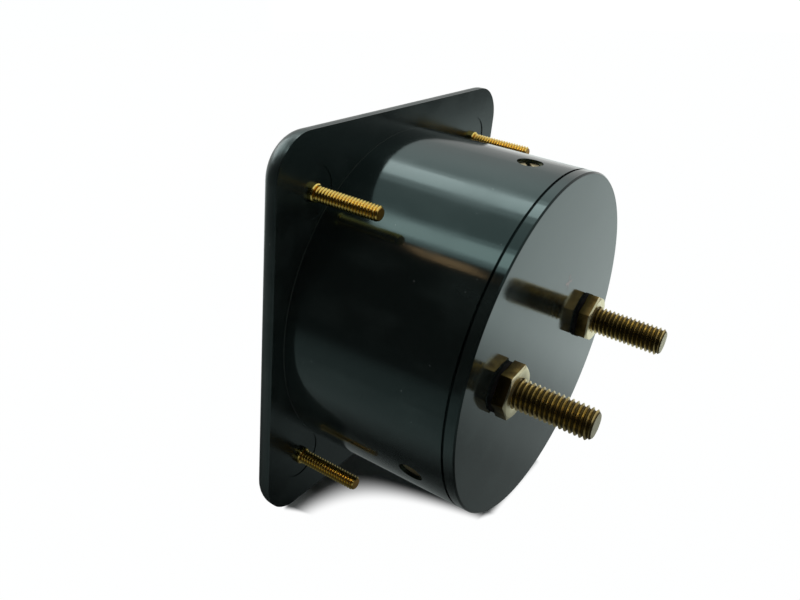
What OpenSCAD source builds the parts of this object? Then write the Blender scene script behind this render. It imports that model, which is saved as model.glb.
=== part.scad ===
// Analog panel meter with a square flange and a round barrel, and a moving-coil movement inside.
// Frame: the dial faces -Y, the terminals point to +Y, +Z is up. The origin is the centre of the
// stud pattern on the back face of the flange, which is the face that sits on the panel.

/* [Flange] */
// How much wider the flange is than the barrel
flange_over_w = 6.2; // [3:0.1:18]
// How much higher the flange is than the barrel
flange_over_h = 9.4; // [5:0.1:20]
// Thickness of the flange
flange_t = 4.8; // [4.6:0.1:7]
// Corner radius of the flange
flange_r = 8.2; // [8:0.1:12]
// Radius of the rounded front edge
edge_r = 4.0; // [2:0.1:4]

/* [Barrel] */
// Diameter of the barrel
barrel_d = 70; // [69:0.1:71.5]
// Length of the barrel behind the flange
barrel_len = 34.4; // [33:0.1:48]
// Wall of the barrel
barrel_wall = 2.6; // [2.4:0.1:3.2]

/* [Window] */
// How far the window's arch lies inside the barrel's bore
window_inset = 2.9; // [1.8:0.1:5]
// Height of the window's straight lower edge
window_chord = -11; // [-12.5:0.1:-8]
// Width of the bevel round the window
window_bevel = 1.2; // [0.4:0.1:2]
// Thickness of the front wall round the window
lip_t = 2.2; // [2:0.1:3]
// Thickness of the gasket under the glass
gasket_t = 0.5; // [0.3:0.1:1]
// Thickness of the glass
glass_t = 2.0; // [1.5:0.1:3]
// How far the glass reaches below the window
glass_lap = 2.0; // [1:0.1:3]
// Gap between the glass and the barrel wall
glass_play = 0.1; // [0.05:0.05:0.4]
// Wire of the ring that holds the glass
ring_wire = 1.2; // [0.8:0.1:1.6]

/* [Mounting studs] */
// Distance from the barrel to the middle of a stud
stud_out = 5.16; // [5.02:0.02:6]
// Diameter over the thread of a mounting stud
stud_d = 2.84; // [2.4:0.02:3.6]
// Length of a mounting stud behind the flange
stud_len = 14.2; // [8:0.1:20]
// Diameter of the stud's collar
collar_d = 3.5; // [3.3:0.1:4.6]
// Height of the stud's collar
collar_h = 0.8; // [0.4:0.1:1.5]
// Depth to which a stud is moulded in
stud_root = 3.0; // [1.5:0.1:3.4]
// Diameter of the shallow recess round a stud
pad_d = 10; // [7:0.1:10.2]

/* [Rear base] */
// Thickness of the rim behind the seam
rim_t = 2.1; // [1.5:0.1:4]
// Width of the seam between the barrel and the rim
seam_w = 0.5; // [0.3:0.1:1]
// Depth of the seam
seam_depth = 0.7; // [0.3:0.1:1.2]
// Thickness of the base's floor
floor_t = 3.4; // [2.8:0.1:5]
// Length of the spigot inside the barrel
spigot_len = 4.0; // [2.5:0.1:8]
// Wall of the spigot and of the three lugs
spigot_wall = 2.7; // [2:0.1:3.2]
// Gap between the spigot and the barrel
spigot_gap = 0.1; // [0.05:0.05:0.3]

/* [Case screws] */
// Angle of the first of the three case screws, from +X towards +Z
screw_a = 90; // [84:1:96]
// Distance of the case screws from the barrel's rear edge
screw_in = 7.4; // [6:0.1:9]
// Diameter of the counterbore for a case screw
screw_cbore = 4.9; // [4.8:0.1:5.6]
// Depth of that counterbore
screw_sink = 1.9; // [1.4:0.1:2.1]
// Head diameter of a case screw
screw_head_d = 4.6; // [4.2:0.1:4.7]
// Head height of a case screw
screw_head_h = 1.1; // [0.8:0.1:1.3]
// Thread diameter of a case screw
screw_d = 3.0; // [2.4:0.1:3.4]
// Length of a case screw under its head
screw_len = 5.6; // [4.5:0.1:6]
// Width of a lug that takes a case screw
lug_w = 9; // [8:0.1:11]

/* [Terminals] */
// Spacing of the two terminals
term_pitch = 38.1; // [36:0.1:42]
// Diameter over the thread of a terminal
term_d = 5.8; // [4.8:0.1:6.4]
// Length of a terminal behind the base
term_len = 17.75; // [12:0.05:30]
// Chamfer at the end of a terminal
term_chamfer = 0.7; // [0.2:0.1:1.2]
// Angle of the corners of the positive terminal's nut
nut_turn_pos = 27; // [0:1:60]
// Angle of the corners of the other terminal's nut
nut_turn_neg = 54; // [0:1:60]
// Width across flats of the terminal's head and nut
nut_af = 9.2; // [8.8:0.1:11]
// Thickness of a terminal nut
nut_t = 2.6; // [2:0.1:5]
// Diameter of the dark washer under a nut
washer_d = 9.6; // [9:0.1:12]
// Thickness of that washer
washer_t = 0.6; // [0.3:0.1:1.2]
// Height of the terminal's head inside the base
term_head_t = 3.0; // [2:0.1:3.6]
// Thickness of the solder lugs and of the shunt
strap_t = 0.6; // [0.4:0.1:0.9]
// Width of the shunt strip
shunt_w = 7; // [4:0.1:8]
// Depth of the shunt's trimming cut
shunt_cut = 2; // [0.5:0.1:3]

/* [Movement] */
// Height of the pivot line
move_z = -14; // [-14.5:0.1:-13.5]
// Clearance from the glass to the movement
front_clear = 1.0; // [0.5:0.1:3]
// Diameter of the soft-iron core
core_d = 10.8; // [10:0.1:11.2]
// Length of the core
core_len = 10; // [9:0.1:12]
// Clearance between the coil and the iron
coil_gap = 0.42; // [0.35:0.01:0.5]
// Wall of the coil former
former_t = 0.25; // [0.2:0.05:0.4]
// Thickness of the winding
winding_t = 0.75; // [0.5:0.05:0.9]
// Width of the winding
coil_w = 3.6; // [3:0.1:4]
// Width of each pole piece outside its bore
pole_w = 4.0; // [3.9:0.1:4.6]
// Gap between the two pole pieces
pole_gap = 6.4; // [5.6:0.1:7]
// Thickness of the magnet bar
magnet_t = 4.6; // [3:0.1:4.8]
// Thickness of the frame plate and of the bridges
bridge_t = 1.2; // [1:0.1:1.6]
// Height of a bridge, up and down
bridge_h = 5.2; // [4.6:0.1:5.4]
// Thread diameter of the jewel screws
jewel_d = 3.0; // [2.6:0.1:3.2]
// Width across flats of the lock nuts
lock_af = 5.2; // [5:0.1:5.6]
// Thickness of the lock nuts
lock_t = 1.2; // [0.8:0.1:1.6]
// Thickness of the arms that hold the hairsprings
arm_t = 0.4; // [0.3:0.05:0.6]
// Play of an arm in front of and behind it
arm_play = 0.25; // [0.15:0.05:0.4]
// Diameter of the staffs
staff_d = 1.0; // [0.8:0.05:1.1]
// Turns in a hairspring
spring_turns = 3.5; // [2.5:0.5:4.5]
// Thickness of a hairspring's strip
spring_t = 0.16; // [0.12:0.01:0.2]
// Height of a hairspring's strip
spring_h = 0.25; // [0.2:0.05:0.4]
// Diameter of the fine screws and tapped holes in the movement
fine_d = 1.8; // [1.4:0.1:2]
// Diameter of a pillar
pillar_d = 5; // [4:0.1:5.4]
// Distance of a pillar from the middle
pillar_x = 20; // [19.4:0.1:21]
// Height of the pillars
pillar_z = -9.5; // [-10.5:0.1:-9.4]

/* [Pointer and dial] */
// Length of the pointer from the pivot line
pointer_len = 34; // [30:0.1:36]
// Length of the pointer's balance arms
balance_len = 7.4; // [6.8:0.1:7.6]
// Thickness of the pointer
pointer_t = 0.3; // [0.2:0.05:0.4]
// Half the scale's angle
scale_half = 45; // [35:1:48]
// How far the pointer passes the end of its scale
over_a = 2; // [0:0.5:4]
// Gap between the pointer and the dial
dial_gap = 1.8; // [1.2:0.1:2.6]
// Thickness of the dial plate
dial_t = 0.6; // [0.4:0.1:1]
// How far the dial plate's edge lies inside the barrel's bore
dial_inset = 1.4; // [0.9:0.1:4]
// Radius of the opening in the dial round the movement
dial_cut_r = 13.5; // [12.6:0.1:14]
// Distance of the pointer stops from the pivot line
stop_r = 22; // [19:0.1:26]
// Diameter of a pointer stop
stop_d = 1.0; // [0.6:0.1:1.4]

/* [Zero adjuster] */
// Height of the zero adjuster
adj_z = -21.5; // [-22:0.1:-21]
// Head diameter of the adjuster
adj_head_d = 6.6; // [5.4:0.1:7]
// Shank diameter of the adjuster
adj_shank_d = 4.2; // [4.1:0.1:4.6]
// Eccentric throw of its pin
adj_throw = 1.5; // [1.2:0.1:1.5]
// Diameter of its pin
adj_pin_d = 1.0; // [0.8:0.05:1.1]
// Clearance of its pin in the fork, on each side
fork_gap = 0.15; // [0.12:0.01:0.2]
// Height of the boss that carries the adjuster
adj_boss_h = 1.8; // [1.2:0.1:2.2]
// Diameter of that boss
adj_boss_d = 8.6; // [7.6:0.1:9]

/* [Hidden] */
$fn = 96;
eps = 0.01;

// Fits between pieces
run_gap = 0.05;      // radial clearance of a turning fit
seat_gap = 0.02;     // radial clearance of a threaded, pressed or moulded-in fit
axial_gap = 0.04;    // clearance at each end of the zero adjuster

// Case and glass
case_r = barrel_d / 2;
bore_r = case_r - barrel_wall;
flange_w = barrel_d + flange_over_w;
flange_h = barrel_d + flange_over_h;
window_r = bore_r - window_inset;
stud_pitch = sqrt(2) * (case_r + stud_out);
y_front = -flange_t;
y_lip = y_front + lip_t;
y_gasket = y_lip + gasket_t;
y_glass = y_gasket + glass_t;
glass_r = bore_r - glass_play;
glass_chord = window_chord - glass_lap;
ring_low_a = asin(-glass_chord / glass_r) - 2;    // how far the ring's ends reach down
recess_t = 0.15;     // depth of the shallow recess round a stud
stud_chamfer = 0.35;

// Rear base
y_rim = barrel_len + seam_w;
y_back = y_rim + rim_t;
y_floor = y_back - floor_t;
spigot_r = bore_r - spigot_gap;
cup_r = spigot_r - spigot_wall;
rim_chamfer = 0.3;
boss_wall = 1.4;     // wall of the bosses round the pillars' roots
pillar_root = 1.4;   // depth to which a pillar is moulded in
term_x = term_pitch / 2;
term_gap = 0.05;     // radial clearance of a terminal in its holes
shank_d = term_d - 0.6;    // pitch diameter of its thread, inside the nut and the base
eyelet_d = 10.4;
tail_x = 12.2;       // where the solder lugs' tails and the leads lie
tail_z = -7.2;
tail_w = 4;
lead_d = 0.9;

screw_y = barrel_len - screw_in;
screw_turn = [[0, 35], [120, 80], [240, 65]];    // each screw's place round the barrel, and its slot
insert_d = screw_d + 1.4;
insert_len = 4.0;

// Stack of the movement, from the glass towards the base
slot_proud = 0.6;
y_jewel = y_glass + front_clear;
y_lock = y_jewel + slot_proud;
y_arm = y_lock + lock_t + arm_play;
y_bridge = y_arm + arm_t + arm_play;
y_bridge_back = y_bridge + bridge_t;
y_jewel_end = y_bridge_back + 0.1;
pivot_dip = 0.45;    // how deep a pivot stands in its jewel
y_spring = y_jewel_end + 0.5;
hub_t = 0.6;
y_hub = y_spring + spring_h + 0.3;
y_pointer = y_hub + (hub_t - pointer_t) / 2;
pivot_base_t = 0.5;
y_pivot_base = y_hub + hub_t + 0.45;
y_coil = y_pivot_base + pivot_base_t;
end_gap = 0.5;       // clearance between the coil's ends and the core's ends
y_core = y_coil + winding_t + former_t + end_gap;
y_mid = y_core + core_len / 2;
pole_len = core_len - 0.4;
magnet_len = pole_len - 0.8;
y_pole = y_mid - pole_len / 2;
y_frame = y_mid + pole_len / 2;
y_frame_back = y_frame + bridge_t;
y_dial = y_pointer + pointer_t + dial_gap;
y_dial_back = y_dial + dial_t;

// Movement across
core_r = core_d / 2;
former_in = core_r + coil_gap;
former_out = former_in + former_t;
winding_out = former_out + winding_t;
sweep_r = norm([winding_out, coil_w / 2]);
pole_bore_r = sweep_r + coil_gap;
pole_out = pole_bore_r + pole_w;
pole_top = pole_bore_r + 0.5;
magnet_foot = 6.5;   // how far the magnet's arms reach below the pivot line
bridge_screw_x = pole_bore_r + 2.1;
leg_w = 2.6;
arm_hub_d = jewel_d + 1.2;
arm_ring_w = 1.4;
arm_w = 2.4;
tab_r = 4.35;        // inner face of the tab that holds a hairspring's outer end
tab_w = 1.8;
strut_w = 2.8;       // strut of a core bracket
bracket_w = 13;
bracket_t = 1.5;
bracket_len = 4;
fine_head_d = 3.4;
fine_head_t = 1.2;
fine_slot_w = 0.5;
core_screw_d = 1.4;
core_screw_in = 2.4;
fine_bite = 3.6;     // how far a fine screw or a post's stud reaches in
post_d = 4;
post_stud_d = 2.5;
dial_r = bore_r - dial_inset;
dial_low = -16;      // lower edge of the dial plate
frame_h = 18;
frame_w = 28;
frame_hole_r = sweep_r + 0.85;

// Moving coil
pointer_root_w = 1.1;
pointer_tip_w = 0.3;
pointer_tip_len = 3;
balance_w = 0.9;
hub_d = 3.4;
weight_d = 1.6;      // sleeves on the balance arms
weight_len = 1.6;
collet_d = 2.0;
spring_in = collet_d / 2;
spring_out = tab_r - spring_t / 2 - 0.04;
stop_gap = 0.15;
pointer_half_w = pointer_root_w / 2
    - (pointer_root_w - pointer_tip_w) / 2 * stop_r / (pointer_len - pointer_tip_len);
stop_a = scale_half + over_a + asin((stop_d / 2 + pointer_half_w + stop_gap) / stop_r);

// Zero adjuster
y_boss = y_lip + adj_boss_h;
head_sink = 0.1;
head_t = 1.3;
y_head_back = y_front + head_sink + head_t;
y_shank_end = y_boss + 1.4;
clip_t = 0.4;
clip_groove_d = adj_shank_d - 1;
clip_d = adj_shank_d + 2.6;
fork_r = move_z - adj_z + adj_throw;   // pin's distance from the pivot line at rest

// ---- Building blocks ----

// Round bar along Y, from one depth to another
module rod(y0, y1, d, x = 0, z = 0) {
    translate([x, y1, z]) rotate([90, 0, 0]) cylinder(h = y1 - y0, d = d);
}

// Hexagonal bar along Y; a corner lies at angle a
module hex_rod(y0, y1, af, x = 0, z = 0, a = 0) {
    translate([x, y1, z]) rotate([90, 0, 0]) rotate([0, 0, a])
        cylinder(h = y1 - y0, d = af / cos(30), $fn = 6);
}

// Flat plate; its outline is drawn across and up
module plate(y0, y1) {
    translate([0, y1, 0]) rotate([90, 0, 0]) linear_extrude(y1 - y0) children();
}

// Turned piece; its profile is drawn as radius and depth
module turned(x = 0, z = 0) {
    translate([x, 0, z]) rotate([-90, 0, 0]) rotate_extrude() children();
}

// Moves a piece onto the pivot line
module on_pivot() {
    translate([0, 0, move_z]) children();
}

// Mirrors a front piece of the movement to its rear
module to_rear() {
    translate([0, 2 * y_mid, 0]) mirror([0, 1, 0]) children();
}

// Turns the moving coil to the zero of the scale
module at_zero() {
    on_pivot() rotate([0, -scale_half, 0]) children();
}

// Places of the three case screws; local +Z points outwards and local X lies along the slot
module at_screws() {
    for (p = screw_turn) translate([0, screw_y, 0]) rotate([0, 90 - screw_a - p[0], 0])
        rotate([0, 0, p[1]]) children();
}

// Window outline: a round arch over a straight lower edge
module arch(r, chord) {
    intersection() {
        circle(r = r);
        translate([-r, chord]) square([2 * r, r - chord]);
    }
}

// Rectangle with round corners, centred
module soft_rect(w, h, r) {
    square([w - 2 * r, h], center = true);
    square([w, h - 2 * r], center = true);
    for (sx = [-1, 1], sy = [-1, 1])
        translate([sx * (w / 2 - r), sy * (h / 2 - r)]) circle(r = r);
}

// Cheese-head screw along Y; the head stands in front of y0
module fine_screw(y0, y1, x, z) {
    difference() {
        union() {
            rod(y0 - fine_head_t, y0, fine_head_d, x, z);
            rod(y0 - eps, y1, fine_d, x, z);
        }
        translate([x - fine_head_d, y0 - fine_head_t - eps, z - fine_slot_w / 2])
            cube([2 * fine_head_d, fine_head_t / 2, fine_slot_w]);
    }
}

// ---- Case ----

// Half-section of the flange across one edge, rounded at the front
module flange_edge(half) {
    translate([-half, y_front + edge_r]) square([2 * half, flange_t - edge_r]);
    intersection() {
        translate([-half, y_front]) square([2 * half, flange_t]);
        union() {
            translate([-half + edge_r, y_front]) square([2 * (half - edge_r), flange_t]);
            for (s = [-1, 1])
                translate([s * (half - edge_r), y_front + edge_r]) circle(r = edge_r);
        }
    }
}

// Square flange with round corners and a rounded front edge
module flange_plate() {
    rotate([0, 90, 0]) linear_extrude(flange_w - 2 * flange_r, center = true)
        flange_edge(flange_h / 2);
    linear_extrude(flange_h - 2 * flange_r, center = true) flange_edge(flange_w / 2);
    for (sx = [-1, 1], sz = [-1, 1])
        turned(sx * (flange_w / 2 - flange_r), sz * (flange_h / 2 - flange_r))
            intersection() {
                flange_edge(flange_r);
                translate([0, y_front]) square([flange_r, flange_t]);
            }
}

// Window through the front wall, with a bevel that widens to the front
module window_cut() {
    y_bevel = y_front + window_bevel;
    wide = window_bevel + 1;
    intersection() {
        turned() polygon([[0, y_front - 1], [window_r + wide, y_front - 1],
            [window_r, y_bevel], [window_r, y_lip + 1], [0, y_lip + 1]]);
        rotate([0, -90, 0]) linear_extrude(barrel_d, center = true)
            polygon([[window_chord - wide, y_front - 1], [window_chord, y_bevel],
                [window_chord, y_lip + 1], [barrel_d, y_lip + 1], [barrel_d, y_front - 1]]);
    }
}

// Places of the four mounting studs
module at_studs() {
    for (sx = [-1, 1], sz = [-1, 1])
        translate([sx * stud_pitch / 2, 0, sz * stud_pitch / 2]) children();
}

module case() color([0.05, 0.06, 0.06]) difference() {
    union() {
        difference() {
            union() {
                flange_plate();
                rod(y_front / 2, barrel_len, barrel_d);
            }
            rod(y_lip, barrel_len + 1, 2 * bore_r);
        }
        rod(y_lip - lip_t / 2, y_boss, adj_boss_d, 0, adj_z);
    }
    window_cut();
    rod(y_front - 1, y_head_back + axial_gap, adj_head_d + 0.4, 0, adj_z);
    rod(y_front, y_boss + 1, adj_shank_d + 2 * run_gap, 0, adj_z);
    at_studs() {
        rod(-recess_t, 1, pad_d);
        rod(-stud_root, 1, collar_d + 2 * seat_gap);
    }
    at_screws() {
        translate([0, 0, case_r - screw_sink]) cylinder(h = screw_sink + 2, d = screw_cbore);
        translate([0, 0, bore_r - 2]) cylinder(h = barrel_wall + 2, d = screw_d + 0.3);
    }
}

module window_gasket() color([0.12, 0.12, 0.12]) plate(y_lip, y_gasket) difference() {
    arch(glass_r, glass_chord);
    arch(window_r + 0.2, window_chord - 0.2);
}

module window_glass() color([0.8, 0.9, 0.9, 0.35]) plate(y_gasket, y_glass)
    arch(glass_r, glass_chord);

module glass_retainer() color("silver")
    rotate([-90, 0, 0]) rotate([0, 0, -180 - ring_low_a])
        rotate_extrude(angle = 180 + 2 * ring_low_a)
            translate([bore_r - ring_wire / 2 - seat_gap, y_glass + ring_wire / 2])
                circle(d = ring_wire, $fn = 24);

module mounting_studs() color([0.78, 0.6, 0.25]) at_studs()
    turned() polygon([[0, -stud_root], [collar_d / 2, -stud_root], [collar_d / 2, collar_h],
        [stud_d / 2, collar_h], [stud_d / 2, stud_len - stud_chamfer],
        [stud_d / 2 - stud_chamfer, stud_len], [0, stud_len]]);

// ---- Rear base and its fasteners ----

module rear_base() color([0.05, 0.06, 0.06]) difference() {
    union() {
        turned() polygon([[0, y_floor], [cup_r, y_floor], [cup_r, barrel_len - spigot_len],
            [spigot_r, barrel_len - spigot_len], [spigot_r, barrel_len],
            [case_r - seam_depth, barrel_len], [case_r - seam_depth, y_rim], [case_r, y_rim],
            [case_r, y_back - rim_chamfer], [case_r - rim_chamfer, y_back], [0, y_back]]);
        intersection() {
            turned() translate([cup_r - 2, screw_y - lug_w / 2])
                square([spigot_r - cup_r + 2, y_floor - screw_y + lug_w / 2 + eps]);
            for (p = screw_turn) rotate([0, 90 - screw_a - p[0], 0])
                translate([-lug_w / 2, 0, 0]) cube([lug_w, barrel_len, barrel_d]);
        }
        for (s = [-1, 1])
            rod(y_floor - 2.6, y_floor + eps, pillar_d + 2 * boss_wall, s * pillar_x, pillar_z);
    }
    for (s = [-1, 1]) {
        rod(y_floor - 5, y_back + 1, term_d + 2 * term_gap, s * term_x, 0);
        rod(y_floor - 5, y_floor + pillar_root, pillar_d + 2 * seat_gap, s * pillar_x, pillar_z);
    }
    at_screws()
        translate([0, 0, cup_r - 3]) cylinder(h = barrel_d, d = insert_d + 2 * seat_gap);
}

module case_screws() color([0.75, 0.58, 0.26]) at_screws()
    translate([0, 0, case_r - screw_sink]) difference() {
        union() {
            cylinder(h = screw_head_h, d = screw_head_d);
            translate([0, 0, -screw_len]) cylinder(h = screw_len + eps, d = screw_d);
        }
        translate([-screw_head_d, -0.45, screw_head_h * 0.45])
            cube([2 * screw_head_d, 0.9, screw_head_h]);
    }

module lug_inserts() color([0.75, 0.58, 0.26]) at_screws()
    translate([0, 0, spigot_r - 0.4 - insert_len]) difference() {
        cylinder(h = insert_len, d = insert_d);
        translate([0, 0, -1]) cylinder(h = insert_len + 2, d = screw_d + 2 * seat_gap);
    }

// ---- Terminals; side is -1 for the positive one at -X and 1 for the other ----

module terminal_stud(side) color([0.72, 0.56, 0.26]) {
    y_head = y_floor - 2 * strap_t;
    y_end = y_back + term_len;
    y_free = y_back + washer_t + nut_t;
    hex_rod(y_head - term_head_t, y_head, nut_af, side * term_x, 0);
    turned(side * term_x) polygon([[0, y_head - 1], [shank_d / 2, y_head - 1],
        [shank_d / 2, y_free], [term_d / 2, y_free], [term_d / 2, y_end - term_chamfer],
        [term_d / 2 - term_chamfer, y_end], [0, y_end]]);
}

// Hexagon nut with its outer corners chamfered at 30 degrees
module terminal_nut(side, a) color([0.72, 0.56, 0.26]) {
    y0 = y_back + washer_t;
    flat_r = nut_af / 2 - 0.1;
    wide_r = nut_af;
    difference() {
        intersection() {
            hex_rod(y0, y0 + nut_t, nut_af, side * term_x, 0, a);
            turned(side * term_x) polygon([[0, y0 - 1], [wide_r, y0 - 1],
                [wide_r, y0 + nut_t - (wide_r - flat_r) * tan(30)],
                [flat_r - 1, y0 + nut_t + tan(30)], [0, y0 + nut_t + tan(30)]]);
        }
        rod(y0 - 1, y0 + nut_t + 1, shank_d + 2 * seat_gap, side * term_x, 0);
    }
}

module terminal_washer(side) color([0.1, 0.1, 0.1]) difference() {
    rod(y_back, y_back + washer_t, washer_d, side * term_x, 0);
    rod(y_back - 1, y_back + washer_t + 1, term_d + 2 * term_gap, side * term_x, 0);
}

module solder_lug(side) color([0.75, 0.75, 0.72]) {
    reach = norm([term_x - tail_x, tail_z]);
    plate(y_floor - strap_t, y_floor) difference() {
        union() {
            translate([side * term_x, 0]) circle(d = eyelet_d - 0.6);
            translate([side * term_x, 0])
                rotate([0, 0, atan2(tail_z, side * (tail_x - term_x))])
                    translate([0, -tail_w / 2]) square([reach, tail_w]);
            translate([side * tail_x, tail_z]) circle(d = tail_w);
        }
        translate([side * term_x, 0]) circle(d = term_d + 2 * term_gap);
    }
}

module shunt_strip() color([0.72, 0.5, 0.32]) plate(y_floor - 2 * strap_t, y_floor - strap_t)
    difference() {
        union() {
            square([term_pitch, shunt_w], center = true);
            for (s = [-1, 1]) translate([s * term_x, 0]) circle(d = eyelet_d);
        }
        for (s = [-1, 1]) translate([s * term_x, 0]) circle(d = term_d + 2 * term_gap);
        translate([2, shunt_w / 2 - shunt_cut]) square([1.2, shunt_cut + 1]);
    }

module lead_neg() color([0.8, 0.45, 0.3]) rod(y_frame_back, y_floor - strap_t, lead_d,
    tail_x, tail_z);

module lead_pos() color([0.8, 0.45, 0.3]) rod(2 * y_mid - y_arm, y_floor - strap_t, lead_d,
    -tail_x, tail_z);

// ---- Fixed iron and frame of the movement ----

module movement_frame() color([0.74, 0.6, 0.3]) plate(y_frame, y_frame_back) difference() {
    union() {
        translate([0, move_z]) square([frame_w, frame_h], center = true);
        translate([0, pillar_z]) square([2 * pillar_x, pillar_d + 1], center = true);
        for (s = [-1, 1]) translate([s * pillar_x, pillar_z]) circle(d = pillar_d + 1);
    }
    translate([0, move_z]) circle(r = frame_hole_r);
    for (s = [-1, 1]) {
        translate([s * bridge_screw_x, move_z]) circle(d = fine_d + 2 * seat_gap);
        translate([s * pillar_x, pillar_z]) circle(d = post_stud_d + 2 * seat_gap);
    }
}

module pillars() color([0.74, 0.6, 0.3]) for (s = [-1, 1]) difference() {
    rod(y_frame_back, y_floor + pillar_root, pillar_d, s * pillar_x, pillar_z);
    rod(y_frame_back - 1, y_frame_back + fine_bite + 1.4, post_stud_d + 2 * seat_gap,
        s * pillar_x, pillar_z);
}

// Horseshoe magnet: two arms joined by an arch over the pole pieces
module magnet() color([0.3, 0.3, 0.32]) on_pivot()
    plate(y_mid - magnet_len / 2, y_mid + magnet_len / 2) {
        for (s = [-1, 1]) translate([s * (pole_out + magnet_t / 2) - magnet_t / 2, -magnet_foot])
            square([magnet_t, magnet_foot + pole_top]);
        translate([0, pole_top]) difference() {
            circle(r = pole_out + magnet_t);
            circle(r = pole_out);
            translate([-barrel_d, -barrel_d - eps]) square([2 * barrel_d, barrel_d]);
        }
    }

module pole_piece(side) color([0.5, 0.5, 0.5]) on_pivot() difference() {
    plate(y_pole, y_frame) difference() {
        translate([side > 0 ? pole_gap / 2 : -pole_out, -pole_top])
            square([pole_out - pole_gap / 2, 2 * pole_top]);
        circle(r = pole_bore_r);
    }
    rod(y_pole - 1, y_pole + fine_bite + 0.4, fine_d + 2 * seat_gap, side * bridge_screw_x, 0);
    rod(y_frame - fine_bite - 0.4, y_frame + 1, fine_d + 2 * seat_gap, side * bridge_screw_x, 0);
}

module core() color([0.55, 0.55, 0.55]) on_pivot() difference() {
    rod(y_core, y_core + core_len, core_d);
    for (s = [0, 180]) rotate([0, s, 0]) translate([0, y_mid, core_r - core_screw_in])
        cylinder(h = core_r, d = core_screw_d + 2 * seat_gap);
}

// Brass bracket that carries the core in the gap between the pole pieces; side is up or down
module core_bracket(side) color([0.74, 0.6, 0.3]) on_pivot()
    rotate([0, side > 0 ? 0 : 180, 0]) difference() {
        union() {
            translate([-strut_w / 2, y_mid - bracket_len / 2, core_r - 1])
                cube([strut_w, bracket_len, pole_top - core_r + 1 + eps]);
            translate([-bracket_w / 2, y_mid - bracket_len / 2, pole_top])
                cube([bracket_w, bracket_len, bracket_t]);
        }
        rod(y_core, y_core + core_len, core_d);
        translate([0, y_mid, 0]) cylinder(h = 2 * pole_top, d = core_screw_d + 2 * seat_gap);
    }

module core_screws() color([0.74, 0.6, 0.3]) on_pivot() for (s = [0, 180])
    rotate([0, s, 0]) translate([0, y_mid, pole_top + bracket_t]) {
        difference() {
            cylinder(h = 1, d = 2 * core_screw_d);
            translate([-core_screw_d * 2, -0.2, 0.5]) cube([core_screw_d * 4, 0.4, 1]);
        }
        depth = pole_top + bracket_t - core_r + core_screw_in - 0.2;
        translate([0, 0, -depth]) cylinder(h = depth + eps, d = core_screw_d);
    }

// Bridge over the coil, with two legs on the iron and a hub that carries the spring arm
module bridge(y_leg) color([0.74, 0.6, 0.3]) on_pivot() difference() {
    union() {
        translate([-bridge_screw_x - leg_w / 2, y_bridge, -bridge_h / 2])
            cube([2 * bridge_screw_x + leg_w, bridge_t, bridge_h]);
        for (s = [-1, 1])
            translate([s * bridge_screw_x - leg_w / 2, y_bridge, -bridge_h / 2])
                cube([leg_w, y_leg - y_bridge, bridge_h]);
        rod(y_lock + lock_t, y_bridge + eps, arm_hub_d);
    }
    rod(y_lock, y_bridge_back + 1, jewel_d + 2 * seat_gap);
    for (s = [-1, 1])
        rod(y_bridge - 1, y_leg + 1, fine_d + 2 * seat_gap, s * bridge_screw_x, 0);
}

module front_bridge() bridge(y_pole);
module rear_bridge() to_rear() bridge(2 * y_mid - y_frame_back);

module bridge_screws(y_tip) color([0.6, 0.6, 0.6]) for (s = [-1, 1])
    fine_screw(y_bridge, y_tip, s * bridge_screw_x, move_z);

// Jewel screw: a slotted stud whose inner end holds the cup of the bearing
module jewel_screw() color([0.78, 0.62, 0.3]) on_pivot() difference() {
    turned() polygon([[0, y_jewel], [jewel_d / 2 - 0.2, y_jewel], [jewel_d / 2, y_jewel + 0.2],
        [jewel_d / 2, y_jewel_end], [0.8, y_jewel_end], [0.1, y_jewel_end - 0.62],
        [0, y_jewel_end - 0.62]]);
    translate([-jewel_d, y_jewel - eps, -fine_slot_w / 2])
        cube([2 * jewel_d, slot_proud * 0.8, fine_slot_w]);
}

module lock_nut() color([0.78, 0.62, 0.3]) on_pivot() difference() {
    hex_rod(y_lock, y_lock + lock_t, lock_af);
    rod(y_lock - 1, y_lock + lock_t + 1, jewel_d + 2 * seat_gap);
}

// Ring on the bridge's hub, with the bent tab that takes the hairspring's outer end
module arm_ring() {
    plate(y_arm, y_arm + arm_t) difference() {
        union() {
            circle(d = arm_hub_d + 2 * run_gap + 2 * arm_ring_w);
            translate([-tab_w / 2, 0]) square([tab_w, tab_r + arm_t]);
        }
        circle(d = arm_hub_d + 2 * run_gap);
    }
    translate([-tab_w / 2, y_arm, tab_r]) cube([tab_w, y_spring + spring_h - y_arm, arm_t]);
}

module rear_spring_arm() color([0.74, 0.6, 0.3]) to_rear() on_pivot() {
    arm_ring();
    reach = norm([tail_x, tail_z - move_z]);
    inner = arm_hub_d / 2 + run_gap + 0.4;
    plate(y_arm, y_arm + arm_t) rotate([0, 0, atan2(tail_z - move_z, -tail_x)])
        translate([inner, -arm_w / 2]) square([reach - inner + arm_w / 2, arm_w]);
}

// Arm turned by the zero adjuster: its fork straddles the eccentric pin
module zero_arm() color([0.74, 0.6, 0.3]) on_pivot() {
    slot = adj_pin_d + 2 * fork_gap;
    tip = fork_r + 2;
    arm_ring();
    plate(y_arm, y_arm + arm_t) difference() {
        translate([-slot / 2 - 1, -tip]) square([slot + 2, tip]);
        translate([-slot / 2, -tip - 1]) square([slot, tip + 1 - fork_r + 2.6]);
        circle(d = arm_hub_d + 2 * run_gap);
    }
}

// ---- Dial ----

module dial_posts() color([0.74, 0.6, 0.3]) for (s = [-1, 1]) difference() {
    union() {
        rod(y_dial_back, y_frame, post_d, s * pillar_x, pillar_z);
        rod(y_frame - eps, y_frame_back + fine_bite, post_stud_d, s * pillar_x, pillar_z);
    }
    rod(y_dial_back - 1, y_dial_back + fine_bite + 0.4, fine_d + 2 * seat_gap, s * pillar_x, pillar_z);
}

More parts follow.
